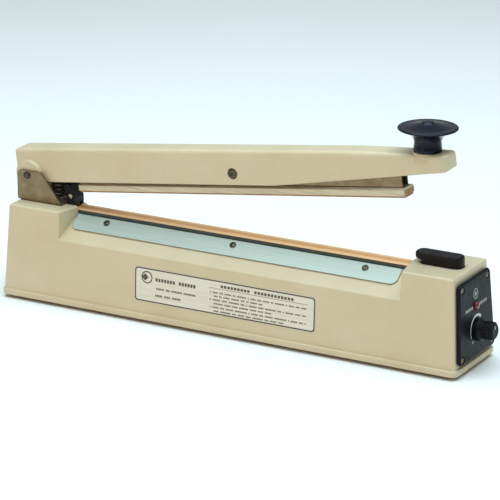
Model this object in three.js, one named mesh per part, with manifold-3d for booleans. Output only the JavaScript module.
// Hand impulse heat sealer: a cast base with a sprung closing arm, in millimetres, +Z up.
// Inner frame: x = 0 at the middle of the base flange, y = 0 on the centre plane, z = 0 under the flange.
// The outer group moves that frame so that the origin is on the table, under the middle of the whole sealer.
// Front is -Y, and the arm's free end and the control panel are at +X.
import * as THREE from "three";
import { mergeVertices } from "three/addons/utils/BufferGeometryUtils.js";
import Module from "manifold-3d";

const wasm = await Module();
wasm.setup();
const { PI, sin, cos, tan, atan2, hypot } = Math;
const rad = THREE.MathUtils.degToRad;

// ---- driving dimensions ----
const GAP = 0.3;              // clearance between pieces that meet
const RUNNING = 0.05;         // radial clearance of a turning pin
const PIN_R = 3;
const WALL = 3;               // casting wall
const FLANGE_L = 450;
const FLANGE_W = 78.7;
const FLANGE_H = 5.8;
const LEDGE = 2.3;            // flange edge to the foot of the walls
const BLOCK_H = 83.2;         // top of the end blocks
const DRAFT_X = 4.7;          // the end walls lean in by this much over the height
const DRAFT_Y = 4.3;          // the long walls lean in by this much
const CORNER_R = 5;
const TOP_R = 4;
const LEFT_BLOCK_X = -165.8;  // inner wall of the hinge block, in front
const RIGHT_BLOCK_X = 170.8;  // inner wall of the control block
const WALL_SLANT = 0.2;       // the inner walls come closer towards the ridge, per mm of depth
const LEFT_REAR_X = -183;     // behind the ridge the hinge block is cut back further
const LEFT_REAR_SLANT = 0.56;
const EAVE_Y = 34.2;
const EAVE_Z = 57.6;
const RIDGE_Y = 8.5;
const RIDGE_Z = 75.5;
const BAR_TOP_Z = 79.6;       // phenolic bar that carries the element
const SEAL_Z = 80.4;          // sealing surface, on top of the cloth
const PIN_X = -208;
const PIN_Z = 107;
const OPEN_ANGLE = rad(7.5);
const ARM_W = 25;
const ARM_TOP = 23.2;         // above the pin axis
const ARM_BOTTOM = -7.6;
const ARM_TIP = 414;          // from the pin axis
const ARM_WALL = 3;
const BOSS_R = 12;
const ROCKER_U = 209;         // rocker pin, along the arm
const ROCKER_W = 2.6;
const ROCKER_L = 322;
const STRIP_W = -17.5;        // underside of the rubber strip, in the arm's frame
const KNOB_U = 391;
const KNOB_R = 25.3;
const KNOB_SEAT = 21.2;       // cast boss under the knob, above the pin axis
const PANEL_H = 69;
const PANEL_TOP_W = 60;
const PANEL_BOTTOM_W = 69;
const PANEL_T = 4;
const PANEL_Z = 42.7;         // height of the panel's centre
const TIMER_Z = 31.5;
const LAMP_Z = 52;
const TIMER_TIP_X = 241.5;
const PAD_X = 192.5;
const PAD_L = 38;
const PAD_W = 15;
const PAD_TOP = 92.5;
const FOOT_H = 3;
const FOOT_X = 196;
const FOOT_Y = 24;
const PLATE_L = 320;
const PLATE_W = 17;
const PLATE_T = 1.2;
const PLATE_SCREW_X = 127.5;
const PLATE_SCREW_V = 3;      // above the plate's centre line
const BRACKET_SCREW_X = [-207, -183];
const TRANSFORMER_SCREW_X = [-46, 46];
const CORD_X = -190;
const CORD_Z = 22;
const CORD_HOLE_R = 5.4;
const VENT_X = [-45, -15, 15, 45];

const SLOPE = atan2(RIDGE_Z - EAVE_Z, EAVE_Y - RIDGE_Y);
const WALL_LEAN = atan2(DRAFT_X, BLOCK_H - FLANGE_H);
const CENTRE_X = (TIMER_TIP_X - FLANGE_L / 2) / 2;
const wallX = (z) => FLANGE_L / 2 - LEDGE - (z - FLANGE_H) * tan(WALL_LEAN);

// ---- finishes ----
const finish = (color, roughness, metalness = 0) =>
  new THREE.MeshStandardMaterial({ color, roughness, metalness });
const enamel = finish(0xcfc2a0, 0.45);
const aluminium = finish(0xb9cfc8, 0.35, 1);
const zincSteel = finish(0xa59a7c, 0.35, 1);
const screwSteel = finish(0xa8a8a4, 0.3, 1);
const brass = finish(0xb8923f, 0.3, 1);
const phenolic = finish(0x3c4a44, 0.6);
const ptfeCloth = finish(0xd9a66c, 0.5);
const nichrome = finish(0x8d8982, 0.4, 1);
const siliconeRubber = finish(0xa87c52, 0.7);
const blackPlastic = finish(0x17181d, 0.3);
const knobPlastic = finish(0x131a2a, 0.12);
const blackRubber = finish(0x1a1a1a, 0.85);
const redLens = finish(0xb01522, 0.15);
const silverLabel = finish(0xd7d7c9, 0.4);
const laminate = finish(0x6d6a66, 0.55, 0.6);
const windingTape = finish(0xc89a2c, 0.5);
const circuitBoard = finish(0x2c5a34, 0.5);
const relayCase = finish(0x22548c, 0.4);
const springSteel = finish(0x8f8f8c, 0.35, 1);

// ---- solids ----
function solid(geometry) {
  const bare = geometry.index ? geometry.toNonIndexed() : geometry;
  bare.deleteAttribute("normal");
  bare.deleteAttribute("uv");
  const merged = mergeVertices(bare, 1e-4);
  return new wasm.Manifold(new wasm.Mesh({
    numProp: 3,
    vertProperties: new Float32Array(merged.attributes.position.array),
    triVerts: new Uint32Array(merged.index.array),
  }));
}

function node(name, body, material) {
  const { vertProperties, triVerts } = body.getMesh();
  const geometry = new THREE.BufferGeometry();
  geometry.setAttribute("position", new THREE.BufferAttribute(vertProperties, 3));
  geometry.setIndex(new THREE.BufferAttribute(triVerts, 1));
  geometry.computeVertexNormals();
  const mesh = new THREE.Mesh(geometry, material);
  mesh.name = name;
  return mesh;
}

function box(x0, x1, y0, y1, z0, z1) {
  return solid(new THREE.BoxGeometry(x1 - x0, y1 - y0, z1 - z0)
    .translate((x0 + x1) / 2, (y0 + y1) / 2, (z0 + z1) / 2));
}

// A cylinder from `start`, running along +axis.
function rod(radius, length, axis, start, sides = 12) {
  const geometry = new THREE.CylinderGeometry(radius, radius, length, sides).translate(0, length / 2, 0);
  if (axis === "x") geometry.rotateZ(-PI / 2);
  if (axis === "z") geometry.rotateX(PI / 2);
  return solid(geometry.translate(...start));
}

// A solid of revolution about +Z from [radius, height] points, listed from bottom to top.
function turned(points, sides = 20) {
  const profile = points.map(([r, z]) => new THREE.Vector2(r, z));
  return solid(new THREE.LatheGeometry(profile, sides).rotateX(PI / 2));
}

function roundedRect(w, d, r) {
  const [x, y] = [w / 2, d / 2];
  const shape = new THREE.Shape();
  shape.absarc(x - r, y - r, r, 0, PI / 2);
  shape.absarc(-x + r, y - r, r, PI / 2, PI);
  shape.absarc(-x + r, -y + r, r, PI, 1.5 * PI);
  shape.absarc(x - r, -y + r, r, 1.5 * PI, 2 * PI);
  return shape;
}

const outline = (points) => new THREE.Shape(points.map(([x, y]) => new THREE.Vector2(x, y)));

// Extrudes a shape along +Z from z0 to z1, with its edges rounded to radius `round`.
function slab(shape, z0, z1, round = 0, curveSegments = 3) {
  return new THREE.ExtrudeGeometry(shape, {
    depth: z1 - z0 - 2 * round,
    curveSegments,
    bevelEnabled: round > 0,
    bevelThickness: round,
    bevelSize: round,
    bevelOffset: -round,
    bevelSegments: 2,
  }).translate(0, 0, z0 + round);
}

// The same, with the shape drawn in (y, z) and extruded along X, or in (x, z) and extruded along Y.
const alongX = (shape, x0, x1, round) =>
  solid(slab(shape, x0, x1, round).rotateX(PI / 2).rotateZ(PI / 2));
const alongY = (shape, y0, y1, round) =>
  solid(slab(shape, -y1, -y0, round).rotateX(PI / 2));

// Leans the long walls in by DRAFT_Y and the outer end wall by DRAFT_X over the block's height.
function drafted(geometry, side, middleX) {
  const position = geometry.attributes.position;
  const centre = new THREE.Vector3();
  for (let i = 0; i < position.count; i += 1) {
    centre.fromBufferAttribute(position, i);
    const lift = (centre.z - FLANGE_H) / (BLOCK_H - FLANGE_H);
    const outer = (centre.x - middleX) * side > 0;
    const halfW = FLANGE_W / 2 - LEDGE;
    position.setXYZ(i, centre.x - (outer ? side * DRAFT_X * lift : 0),
      centre.y * (1 - DRAFT_Y * lift / halfW), centre.z);
  }
  return geometry;
}

const union = (bodies) => bodies.reduce((whole, body) => whole.add(body));
const cutAll = (body, cutters) => body.subtract(union(cutters));
const corners = (x, y) => [[-x, -y], [x, -y], [x, y], [-x, y]];

// ---- fasteners ----
// Pan-head screw with its shank down -Z and the head's underside at z = 0.
function panScrew(headR, headH, shankR, length) {
  const body = turned([[0, -length], [shankR, -length], [shankR, 0], [headR, 0], [headR, headH * 0.45],
    [headR * 0.72, headH], [0, headH]], 10);
  return body.subtract(box(-headR - 1, headR + 1, -0.4, 0.4, headH * 0.5, headH + 1));
}

const sealer = new THREE.Group();
sealer.position.set(-CENTRE_X, 0, FOOT_H);
const add = (group, name, body, material, x = 0, y = 0, z = 0) => {
  const mesh = node(name, body, material);
  mesh.position.set(x, y, z);
  group.add(mesh);
  return mesh;
};

// ---- base casting ----
function roofSection(inset) {
  const drop = inset / cos(SLOPE);
  const foot = FLANGE_W / 2 - LEDGE - inset;
  const low = inset ? -1 : FLANGE_H / 2;
  return outline([[-foot, low], [foot, low], [EAVE_Y - inset, EAVE_Z - drop + inset * tan(SLOPE)],
    [RIDGE_Y - 1, RIDGE_Z - drop + tan(SLOPE)], [1 - RIDGE_Y, RIDGE_Z - drop + tan(SLOPE)],
    [inset - EAVE_Y, EAVE_Z - drop + inset * tan(SLOPE)]]);
}

// Plan of an end block: rounded outer corners, and inner walls that slant towards the ridge. Each wall has its
// place at the long side and its slant.
function blockPlan(outerX, halfW, r, [lowX, lowSlant], [highX, highSlant]) {
  const shape = new THREE.Shape();
  shape.moveTo(lowX + r / 2, -halfW);
  shape.lineTo(outerX - r, -halfW);
  shape.absarc(outerX - r, -halfW + r, r, -PI / 2, 0);
  shape.absarc(outerX - r, halfW - r, r, 0, PI / 2);
  shape.lineTo(highX + r / 2, halfW);
  shape.lineTo(highX, halfW - r / 2);
  shape.lineTo(highX - highSlant * (halfW - RIDGE_Y), RIDGE_Y);
  shape.lineTo(lowX - lowSlant * (halfW - RIDGE_Y), -RIDGE_Y);
  shape.lineTo(lowX, -halfW + r / 2);
  return shape;
}

function endBlock(side, wallPlace, inset) {
  const outerX = FLANGE_L / 2 - LEDGE - inset;
  const innerX = Math.abs(wallPlace) + inset;
  const halfW = FLANGE_W / 2 - LEDGE - inset;
  const bottom = inset ? -1 - TOP_R : FLANGE_H / 2 - TOP_R;
  const front = [innerX, WALL_SLANT];
  const rear = side < 0 ? [inset - LEFT_REAR_X, LEFT_REAR_SLANT] : front;
  const shape = blockPlan(outerX, halfW, CORNER_R - inset / 2, side < 0 ? rear : front, side < 0 ? front : rear);
  const block = slab(shape, bottom, BLOCK_H - inset, TOP_R - inset / 2);
  if (side < 0) block.rotateZ(PI);
  const whole = solid(drafted(block, side, side * (outerX + innerX) / 2));
  return inset ? whole : whole.intersect(box(-FLANGE_L, FLANGE_L, -FLANGE_W, FLANGE_W, FLANGE_H / 2, BLOCK_H));
}

function baseHousing() {
  const flange = solid(slab(roundedRect(FLANGE_L, FLANGE_W, 7), 0, FLANGE_H, 1));
  const roofFlat = box(-FLANGE_L, FLANGE_L, -RIDGE_Y, RIDGE_Y, RIDGE_Z, BLOCK_H);
  const reach = FLANGE_L / 2 - 30;
  const shell = union([flange, alongX(roofSection(0), -reach, reach).subtract(roofFlat),
    endBlock(-1, LEFT_BLOCK_X, 0), endBlock(1, RIGHT_BLOCK_X, 0)]);
  const hollow = union([alongX(roofSection(WALL), -reach, reach),
    endBlock(-1, LEFT_BLOCK_X, WALL), endBlock(1, RIGHT_BLOCK_X, WALL)]);
  const pillars = union(corners(FOOT_X, FOOT_Y).map(([x, y]) => rod(5, 77, "z", [x, y, 4])));
  const bracketPosts = union(BRACKET_SCREW_X.map((x) => rod(5, 20, "z", [x, 0, 61])));
  const holes = [
    ...corners(FOOT_X, FOOT_Y).map(([x, y]) => rod(2.2, 17, "z", [x, y, 1])),
    ...BRACKET_SCREW_X.map((x) => rod(2.2, 14, "z", [x, 0, BLOCK_H - 12])),
    ...plateScrewHoles(),
    box(LEFT_BLOCK_X - 7.1, LEFT_BLOCK_X + 8, -8.5, 8.5, RIDGE_Z, BLOCK_H + 1),
    box(RIGHT_BLOCK_X - 8, RIGHT_BLOCK_X + 2, -8.4, 8.4, RIDGE_Z, SEAL_Z + 0.4),
    solid(slab(roundedRect(PAD_L + 1, PAD_W + 1, PAD_W / 2 - 1), BLOCK_H - 8, BLOCK_H + 1, 0, 5)
      .translate(PAD_X, 0, 0)),
    rod(4.6, 30, "x", [FLANGE_L / 2 - 20, 0, TIMER_Z]),
    rod(4.2, 30, "x", [FLANGE_L / 2 - 20, 0, LAMP_Z]),
    ...panelScrewSpots().map(([y, z]) => rod(1.7, 30, "x", [FLANGE_L / 2 - 20, y, z], 12)),
    rod(CORD_HOLE_R, 20, "y", [CORD_X, FLANGE_W / 2 - 15, CORD_Z]),
    ...VENT_X.map((x) => box(x - 12, x + 12, FLANGE_W / 2 - 12, FLANGE_W / 2 + 2, 40, 42.5)),
  ];
  return cutAll(shell.subtract(hollow).add(pillars).add(bracketPosts), holes);
}

function panelScrewSpots() {
  return [[-29, 13], [29, 13], [-24.2, 72], [24.2, 72]];
}

// Places on the sloping roof: each side has its own tilted group, with z along the slope's normal.
function slopeGroup(side) {
  const group = new THREE.Group();
  const half = PLATE_W / 2;
  group.position.set(0, side * (RIDGE_Y + half * cos(SLOPE)), RIDGE_Z - half * sin(SLOPE));
  group.rotation.x = -side * SLOPE;
  return group;
}

function plateScrewHoles() {
  return [-1, 1].flatMap((side) => {
    const group = slopeGroup(side);
    group.updateMatrix();
    return [-PLATE_SCREW_X, 0, PLATE_SCREW_X].map((x) =>
      solid(new THREE.CylinderGeometry(2.1, 2.1, 12, 12).rotateX(PI / 2)
        .translate(x, -side * PLATE_SCREW_V, -2).applyMatrix4(group.matrix)));
  });
}

add(sealer, "base_housing", baseHousing(), enamel);

function bottomPlate() {
  const sheet = solid(slab(roundedRect(430, 64, 4), 1, 2.5));
  const slots = [-120, -60, 60, 120].map((x) => box(x - 15, x + 15, -1.5, 1.5, 0, 4));
  return cutAll(sheet, [...slots, ...corners(FOOT_X, FOOT_Y).map(([x, y]) => rod(2.2, 4, "z", [x, y, 0])),
    ...TRANSFORMER_SCREW_X.map((x) => rod(2.2, 4, "z", [x, 0, 0]))]);
}

add(sealer, "bottom_plate", bottomPlate(), zincSteel);

const footShape = turned([[2.3, -1], [4.6, -1], [4.6, -FOOT_H], [8.2, -FOOT_H], [8.5, 0.7], [2.3, 0.7],
  [2.3, -1]], 14);
const spotNames = ["front_left", "front_right", "rear_right", "rear_left"];
corners(FOOT_X, FOOT_Y).forEach(([x, y], i) => {
  add(sealer, `foot_${spotNames[i]}`, footShape, blackRubber, x, y, 0);
  add(sealer, `foot_screw_${spotNames[i]}`, panScrew(4, 1.4, 1.9, 14), screwSteel, x, y, -1.3).rotation.x = PI;
});

// ---- ridge: bar, element, cloth and clamp plates ----
const BAR_X0 = -164.5;
const BAR_X1 = 169;
add(sealer, "element_bar", box(BAR_X0, BAR_X1, -8, 8, RIDGE_Z + 0.1, BAR_TOP_Z), phenolic);
add(sealer, "heating_element", box(BAR_X0, BAR_X1, -1.5, 1.5, BAR_TOP_Z + 0.05, BAR_TOP_Z + 0.35), nichrome);
add(sealer, "ptfe_cloth", box(-160, 168, -8, 8, BAR_TOP_Z + 0.4, SEAL_Z - 0.15), ptfeCloth);

function clampPlate(side) {
  const half = PLATE_W / 2;
  const sheet = new THREE.Shape();
  const [x, low, high] = [PLATE_L / 2, side * half, -side * half];
  const r = 6;
  sheet.moveTo(-x, high);
  sheet.lineTo(x, high);
  sheet.lineTo(x, low - side * r);
  sheet.quadraticCurveTo(x, low, x - r, low);
  sheet.lineTo(-x + r, low);
  sheet.quadraticCurveTo(-x, low, -x, low - side * r);
  const holes = [-PLATE_SCREW_X, 0, PLATE_SCREW_X].map((screwX) =>
    rod(2.1, 4, "z", [screwX, -side * PLATE_SCREW_V, 0], 12));
  return cutAll(solid(slab(sheet, GAP, GAP + PLATE_T)), holes);
}

for (const [side, where] of [[-1, "front"], [1, "rear"]]) {
  const slope = slopeGroup(side);
  sealer.add(slope);
  add(slope, `clamp_plate_${where}`, clampPlate(side), aluminium);
  [-PLATE_SCREW_X, 0, PLATE_SCREW_X].forEach((x, i) => {
    add(slope, `plate_screw_${where}_${i + 1}`, panScrew(2.9, 1.5, 1.7, 5), screwSteel,
      x, -side * PLATE_SCREW_V, GAP + PLATE_T + 0.1).rotation.z = rad(25 + 40 * i);
  });
}

// Sprung terminal on the left that keeps the element taut, inside a leaning black cap; fixed one on the right.
const TERMINAL_X = LEFT_BLOCK_X - 2.6;
add(sealer, "tension_terminal", box(TERMINAL_X - 1.4, TERMINAL_X + 1.4, -4, 4, RIDGE_Z + GAP, 82), brass);
add(sealer, "fixed_terminal", box(BAR_X1 + GAP, RIGHT_BLOCK_X + 1.7, -4, 4, RIDGE_Z + GAP, BAR_TOP_Z), brass);
const CAP_X0 = LEFT_BLOCK_X - 6.7;
const CAP_X1 = LEFT_BLOCK_X + 1;
const CAP_TOP = 101;
function terminalCap() {
  const lean = 4;
  const side = outline([[CAP_X0, RIDGE_Z + GAP], [CAP_X1, RIDGE_Z + GAP], [CAP_X1, 89], [CAP_X1 - lean, CAP_TOP],
    [CAP_X0 - lean, CAP_TOP], [CAP_X0, 89]]);
  return alongY(side, -8, 8).subtract(box(CAP_X0 + 0.9, CAP_X1 + 1, -6, 6, RIDGE_Z - 1, 84));
}
add(sealer, "terminal_cap", terminalCap().subtract(rod(1.3, 8, "y", [CAP_X0 + 3.8, -9, 91])), blackPlastic);
add(sealer, "cap_screw", panScrew(2.2, 1.2, 1, 4), screwSteel, CAP_X0 + 3.8, -8.1, 91).rotation.x = PI / 2;

// ---- hinge ----
const EAR_Y = 15.3;
const EAR_T = 2;
function hingeBracket() {
  const seat = BLOCK_H + 0.1;
  const top = 111.4;
  const ear = new THREE.Shape();
  ear.moveTo(-218.5, seat);
  ear.lineTo(-173, seat);
  ear.lineTo(-173, seat + 2);
  ear.lineTo(-193, top - 1.5);
  ear.quadraticCurveTo(-194.5, top, -197, top);
  ear.lineTo(-214, top);
  ear.quadraticCurveTo(-218.5, top, -218.5, top - 5);
  const sheet = [-1, 1].map((side) =>
    alongY(ear, Math.min(side * EAR_Y, side * (EAR_Y + EAR_T)), Math.max(side * EAR_Y, side * (EAR_Y + EAR_T))));
  const base = box(-218.5, -173, -EAR_Y - 0.5, EAR_Y + 0.5, seat, seat + EAR_T);
  return cutAll(union([base, ...sheet]), [rod(PIN_R + GAP, 50, "y", [PIN_X, -25, PIN_Z]),
    ...BRACKET_SCREW_X.map((x) => rod(2.3, 6, "z", [x, 0, BLOCK_H - 1]))]);
}
add(sealer, "hinge_bracket", hingeBracket(), zincSteel);
BRACKET_SCREW_X.forEach((x, i) =>
  add(sealer, `bracket_screw_${i + 1}`, panScrew(4, 2, 1.9, 10), screwSteel, x, 0, BLOCK_H + EAR_T + 0.2));

// The pin has a rivet head in front and a groove for its clip behind.
const EAR_OUT = EAR_Y + EAR_T;
const hingePin = turned([[0, -EAR_OUT - 3], [3, -EAR_OUT - 3], [3, -EAR_OUT - 1.5], [2.3, -EAR_OUT - 1.5],
  [2.3, -EAR_OUT - 0.5], [3, -EAR_OUT - 0.5], [3, EAR_OUT + 0.1], [4.4, EAR_OUT + 0.1], [4.4, EAR_OUT + 0.9],
  [3, EAR_OUT + 1.6], [0, EAR_OUT + 1.6]]);
add(sealer, "hinge_pin", hingePin, screwSteel, PIN_X, 0, PIN_Z).rotation.x = PI / 2;
const clipRing = turned([[2.5, -0.3], [5, -0.3], [5, 0.3], [2.5, 0.3], [2.5, -0.3]]);
add(sealer, "pin_clip", clipRing.subtract(box(0, 6, -2, 2, -1, 1)), springSteel, PIN_X, EAR_OUT + 1, PIN_Z)
  .rotation.x = PI / 2;

// ---- closing arm, in its own frame: x along the arm from the pin, z up ----
const arm = new THREE.Group();
arm.position.set(PIN_X, 0, PIN_Z);
arm.rotation.y = -OPEN_ANGLE;
sealer.add(arm);

function armOutline() {
  const shape = new THREE.Shape();
  shape.moveTo(-7, ARM_BOTTOM);
  shape.lineTo(250, ARM_BOTTOM);
  shape.lineTo(407, 5.4);
  shape.quadraticCurveTo(ARM_TIP, 6.2, ARM_TIP, 10);
  shape.lineTo(ARM_TIP, 15.5);
  shape.quadraticCurveTo(ARM_TIP, 19.6, 404, 20.1);
  shape.lineTo(335, ARM_TOP);
  shape.lineTo(-8, ARM_TOP);
  shape.quadraticCurveTo(-13, ARM_TOP, -13, ARM_TOP - 5);
  shape.lineTo(-13, ARM_BOTTOM + 6);
  shape.quadraticCurveTo(-13, ARM_BOTTOM, -7, ARM_BOTTOM);
  return shape;
}

// The knob stands upright while the arm is open, so its seat is tilted against the arm.
const onKnobSeat = (body) => body.rotate(0, 7.5, 0).translate(KNOB_U, 0, KNOB_SEAT);

function armCasting() {
  const half = ARM_W / 2;
  const inner = half - ARM_WALL;
  const plan = slab(roundedRect(ARM_TIP + 60, ARM_W, 10), -40, 40).translate(ARM_TIP / 2 - 30, 0, 0);
  const body = alongY(armOutline(), -half, half, 3).intersect(solid(plan));
  const boss = rod(BOSS_R, 2 * EAR_Y - 2 * GAP, "y", [0, GAP - EAR_Y, 0], 24);
  const knobBoss = onKnobSeat(rod(12.2, 6, "z", [0, 0, -6], 24));
  const hollow = alongY(outline([[12, -40], [373, -40], [373, 12], [332, ARM_TOP - ARM_WALL],
    [12, ARM_TOP - ARM_WALL]]), -inner, inner);
  return cutAll(union([body, boss, knobBoss]), [hollow,
    rod(PIN_R + RUNNING, 40, "y", [0, -20, 0], 24),
    rod(PIN_R + GAP, 40, "y", [ROCKER_U, -20, ROCKER_W]),
    rod(4.9, 10, "y", [ROCKER_U, -half - 8, ROCKER_W]),
    rod(5.4, 10, "y", [ROCKER_U, half - 2, ROCKER_W], 6),
    onKnobSeat(rod(12.6, 12, "z", [0, 0, 0], 24)),
    onKnobSeat(rod(3.3, 40, "z", [0, 0, -30])),
    onKnobSeat(rod(6.6, 20, "z", [0, 0, -28.8], 6))]);
}
add(arm, "arm_casting", armCasting(), enamel);

const knobGroup = new THREE.Group();
knobGroup.position.set(KNOB_U, 0, KNOB_SEAT);
knobGroup.rotation.y = OPEN_ANGLE;
arm.add(knobGroup);
const knobProfile = [[11.8, 0], [11.8, 2.6], [10.7, 4.8], [10.5, 8], [11.4, 11], [12.8, 13.4], [15.5, 15.9],
  [20, 18.4], [KNOB_R - 0.9, 19.7], [KNOB_R, 20.7], [KNOB_R - 0.8, 21.5], [20, 21.7], [12, 23.4], [5.4, 25.4],
  [4.8, 27.6], [3.4, 28.8], [0, 29.1]];
const knobSocket = rod(PIN_R + GAP, 17, "z", [0, 0, -1]);
add(knobGroup, "knob", turned([[0, 0], ...knobProfile], 24).subtract(knobSocket), knobPlastic, 0, 0, GAP);
add(knobGroup, "knob_bolt", turned([[0, 0], [3, 0], [3, 22.5], [0, 22.5]], 16).add(rod(6, 4, "z", [0, 0, -4], 6)),
  screwSteel, 0, 0, -9.1);

function rockerPin() {
  const half = ARM_W / 2;
  return turned([[0, 1.5 - half], [3, 1.5 - half], [3, half - 2], [4.6, half - 2], [4.6, half - 0.7],
    [3.8, half - 0.1], [0, half - 0.1]]).subtract(box(-5, 5, -0.6, 0.6, half - 1, half + 1));
}
const rockerPinMesh = add(arm, "rocker_pin", rockerPin(), screwSteel, ROCKER_U, 0, ROCKER_W);
rockerPinMesh.rotation.set(PI / 2, 0, rad(35));
const rockerNut = rod(5.1, 1.6, "y", [0, 0, 0], 6).subtract(rod(3.2, 6, "y", [0, -2, 0]));
add(arm, "rocker_nut", rockerNut, screwSteel, ROCKER_U, ARM_W / 2 - 1.7, ROCKER_W);

// ---- rocking pressure bar, in a frame on the rocker pin ----
const rocker = new THREE.Group();
rocker.position.set(ROCKER_U, 0, ROCKER_W);
arm.add(rocker);
const STRIP = STRIP_W - ROCKER_W;
const HOLDER_LOW = STRIP + 1.8;
const HOLDER_TOP = STRIP + 8.7;
const half = ROCKER_L / 2;
function rockerChannel() {
  const shape = outline([[-157.5, HOLDER_TOP + 0.1], [158, HOLDER_TOP + 0.1], [158, 2], [130, 6], [-120, 6],
    [-157.5, -3]]);
  const inner = outline([[-170, HOLDER_TOP - 1], [170, HOLDER_TOP - 1], [170, 0.4], [130, 4.5], [-120, 4.5],
    [-170, -7.5]]);
  return cutAll(alongY(shape, -6, 6), [alongY(inner, -4.8, 4.8), rod(PIN_R + RUNNING, 20, "y", [0, -10, 0], 24)]);
}
function rubberHolder() {
  const shape = outline([[-9.5, HOLDER_LOW], [9.5, HOLDER_LOW], [9.5, HOLDER_TOP - 2], [7, HOLDER_TOP],
    [-7, HOLDER_TOP], [-9.5, HOLDER_TOP - 2]]);
  return alongX(shape, -half, half).subtract(box(-half - 1, half + 1, -8.2, 8.2, HOLDER_LOW - 1, HOLDER_TOP - 2.2));
}
add(rocker, "rocker_channel", rockerChannel(), zincSteel);
add(rocker, "rubber_holder", rubberHolder(), aluminium);
add(rocker, "silicone_strip", box(0.2 - half, half - 0.2, -8, 8, STRIP, HOLDER_TOP - 2.4), siliconeRubber);

// ---- return spring between the bracket and the arm's roof ----
const SPRING_X = -186;
class Helix extends THREE.Curve {
  constructor(radius, height, turns) {
    super();
    Object.assign(this, { radius, height, turns });
  }
  getPoint(t) {
    const angle = 2 * PI * this.turns * t;
    return new THREE.Vector3(this.radius * cos(angle), this.radius * sin(angle), this.height * t);
  }
}
function coil(radius, wire, height, turns) {
  const section = outline([0, 1, 2, 3, 4, 5].map((i) => [wire * cos(i * PI / 3), wire * sin(i * PI / 3)]));
  const path = new Helix(radius, height, turns);
  return solid(new THREE.ExtrudeGeometry(section, { steps: turns * 10, extrudePath: path, bevelEnabled: false }));
}
add(sealer, "return_spring", coil(6, 0.9, 34, 8), springSteel, SPRING_X, 0, BLOCK_H + EAR_T + 4);

// ---- control panel, in a frame on the end wall: x out of the panel ----
const panel = new THREE.Group();
panel.position.set(wallX(PANEL_Z), 0, PANEL_Z);
panel.rotation.y = -WALL_LEAN;
sealer.add(panel);
function controlPanel() {
  const [top, bottom, h, r] = [PANEL_TOP_W / 2, PANEL_BOTTOM_W / 2, PANEL_H / 2, 4];
  const shape = new THREE.Shape();
  shape.moveTo(-bottom + r, -h);
  shape.lineTo(bottom - r, -h);
  shape.quadraticCurveTo(bottom, -h, bottom - 0.3, -h + r);
  shape.lineTo(top + 0.3, h - r);
  shape.quadraticCurveTo(top, h, top - r, h);
  shape.lineTo(-top + r, h);
  shape.quadraticCurveTo(-top, h, -top - 0.3, h - r);
  shape.lineTo(-bottom + 0.3, -h + r);
  shape.quadraticCurveTo(-bottom, -h, -bottom + r, -h);
  const plate = alongX(shape, GAP - 1.5, PANEL_T, 1.5).intersect(box(GAP, 9, -50, 50, -50, 50));
  return cutAll(plate, [rod(4.6, 9, "x", [-1, 0, TIMER_Z - PANEL_Z]), rod(3.7, 9, "x", [-1, 0, LAMP_Z - PANEL_Z]),
    ...panelScrewSpots().map(([y, z]) => rod(1.7, 9, "x", [-1, y, z - PANEL_Z], 12)),
    ...panelScrewSpots().map(([y, z]) => rod(3.2, 9, "x", [PANEL_T - 1.4, y, z - PANEL_Z], 16))]);
}
add(panel, "control_panel", controlPanel(), blackPlastic);
panelScrewSpots().forEach(([y, z], i) => {
  add(panel, `panel_screw_${i + 1}`, panScrew(2.7, 1.2, 1.3, 9), screwSteel, PANEL_T - 1.3, y, z - PANEL_Z)
    .rotation.y = PI / 2;
});
add(panel, "pilot_lamp", turned([[0, -14], [3.4, -14], [3.4, PANEL_T + 0.1], [4.3, PANEL_T + 0.1], [4.3, PANEL_T + 1.2],
  [3.2, PANEL_T + 3], [0, PANEL_T + 3.8]]), redLens, 0, 0, LAMP_Z - PANEL_Z).rotation.y = PI / 2;
const TIMER_L = TIMER_TIP_X - wallX(TIMER_Z) - PANEL_T - 0.6;
function timerKnob() {
  const body = turned([[0, 0], [9.6, 0], [9.6, 4.5], [8, 6], [7.4, TIMER_L - 1.2], [6.4, TIMER_L], [0, TIMER_L]]);
  return body.subtract(rod(3.15, 12, "z", [0, 0, -1])).subtract(box(6.4, 8, -0.6, 0.6, TIMER_L - 5, TIMER_L + 1));
}
add(panel, "timer_knob", timerKnob(), blackPlastic, PANEL_T + 0.5, 0, TIMER_Z - PANEL_Z).rotation.y = PI / 2;
add(panel, "timer_potentiometer", turned([[0, -14], [8, -14], [8, -WALL - 2], [4.2, -WALL - 2], [4.2, PANEL_T],
  [2.9, PANEL_T], [2.9, PANEL_T + 10], [0, PANEL_T + 10]]), screwSteel, 0, 0, TIMER_Z - PANEL_Z).rotation.y = PI / 2;

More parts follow.
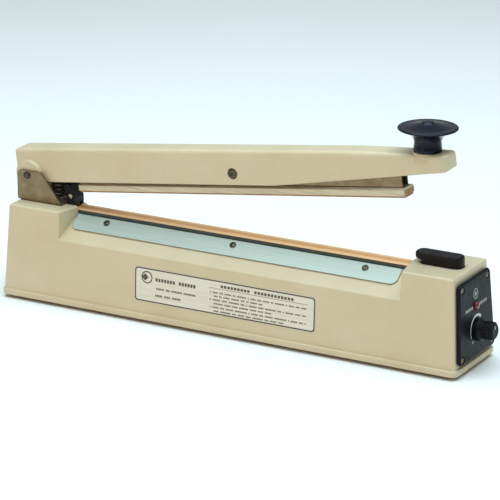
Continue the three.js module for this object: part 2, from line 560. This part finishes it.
// ---- switch pad and its microswitch in the control block ----
const PAD_BOTTOM = BLOCK_H - 6;
function switchPad() {
  const cap = solid(slab(roundedRect(PAD_L, PAD_W, PAD_W / 2 - 1), PAD_BOTTOM, PAD_TOP, 2, 5).translate(PAD_X, 0, 0));
  return cap.add(box(PAD_X - 4, PAD_X + 4, -3, 3, PAD_BOTTOM - 3, PAD_BOTTOM + 3));
}
add(sealer, "switch_pad", switchPad(), blackPlastic);
const SWITCH_TOP = 68.5;
add(sealer, "microswitch", box(PAD_X - 14, PAD_X + 6, -5, 5, SWITCH_TOP - 16, SWITCH_TOP)
  .subtract(box(PAD_X - 2.5, PAD_X + 2.5, -2, 2, SWITCH_TOP - 6, SWITCH_TOP + 1)), blackPlastic);
const switchShelf = box(174, PAD_X + 6, -5, 5, SWITCH_TOP - 17.5, SWITCH_TOP - 16.1);
add(sealer, "switch_bracket", switchShelf.add(box(174, 175.4, -5, 5, 40, SWITCH_TOP - 16.1)), zincSteel);
add(sealer, "microswitch_plunger", box(PAD_X - 2, PAD_X + 2, -1.5, 1.5, SWITCH_TOP - 2, PAD_BOTTOM - 3.3), redLens);

// ---- electrics in the base ----
add(sealer, "timer_board", box(172, 173.6, -26, 26, 2.8, 50), circuitBoard);
add(sealer, "relay", box(174, 190, -20, -5, 12, 38), relayCase);
const coreShape = box(-32, 32, -22, 22, 3, 47).subtract(box(-20, 20, -30, 30, 14, 36));
add(sealer, "transformer_core", coreShape.add(box(-54, 54, -11, 11, 2.8, 4.6))
  .subtract(union(TRANSFORMER_SCREW_X.map((x) => rod(2.3, 8, "z", [x, 0, 0])))), laminate);
const windingShape = box(-19.5, 19.5, -28, 28, 14.5, 35.5);
add(sealer, "transformer_winding", windingShape, windingTape);
TRANSFORMER_SCREW_X.forEach((x, i) => {
  add(sealer, `transformer_screw_${i + 1}`, panScrew(3.8, 2, 1.9, 4.2), screwSteel, x, 0, 4.8);
});

// ---- label on the front wall and the mains cord bushing behind ----
const LEAN_Y = atan2(DRAFT_Y, BLOCK_H - FLANGE_H);
const label = new THREE.Group();
label.position.set(3, -(FLANGE_W / 2 - LEDGE) + (32 - FLANGE_H) * tan(LEAN_Y), 32);
label.rotation.x = PI / 2 - LEAN_Y;
sealer.add(label);
add(label, "name_label", solid(slab(roundedRect(178, 31, 3), GAP / 3, GAP)), silverLabel);

const bushing = turned([[3.4, -8], [4.8, -8], [4.8, GAP], [7.2, GAP], [7.2, 1.4], [5.4, 2.4], [3.4, 2.4], [3.4, -8]]);
add(sealer, "cord_bushing", bushing, blackRubber, CORD_X,
  FLANGE_W / 2 - LEDGE - (CORD_Z - FLANGE_H) * tan(LEAN_Y), CORD_Z).rotation.x = LEAN_Y - PI / 2;

export default sealer;
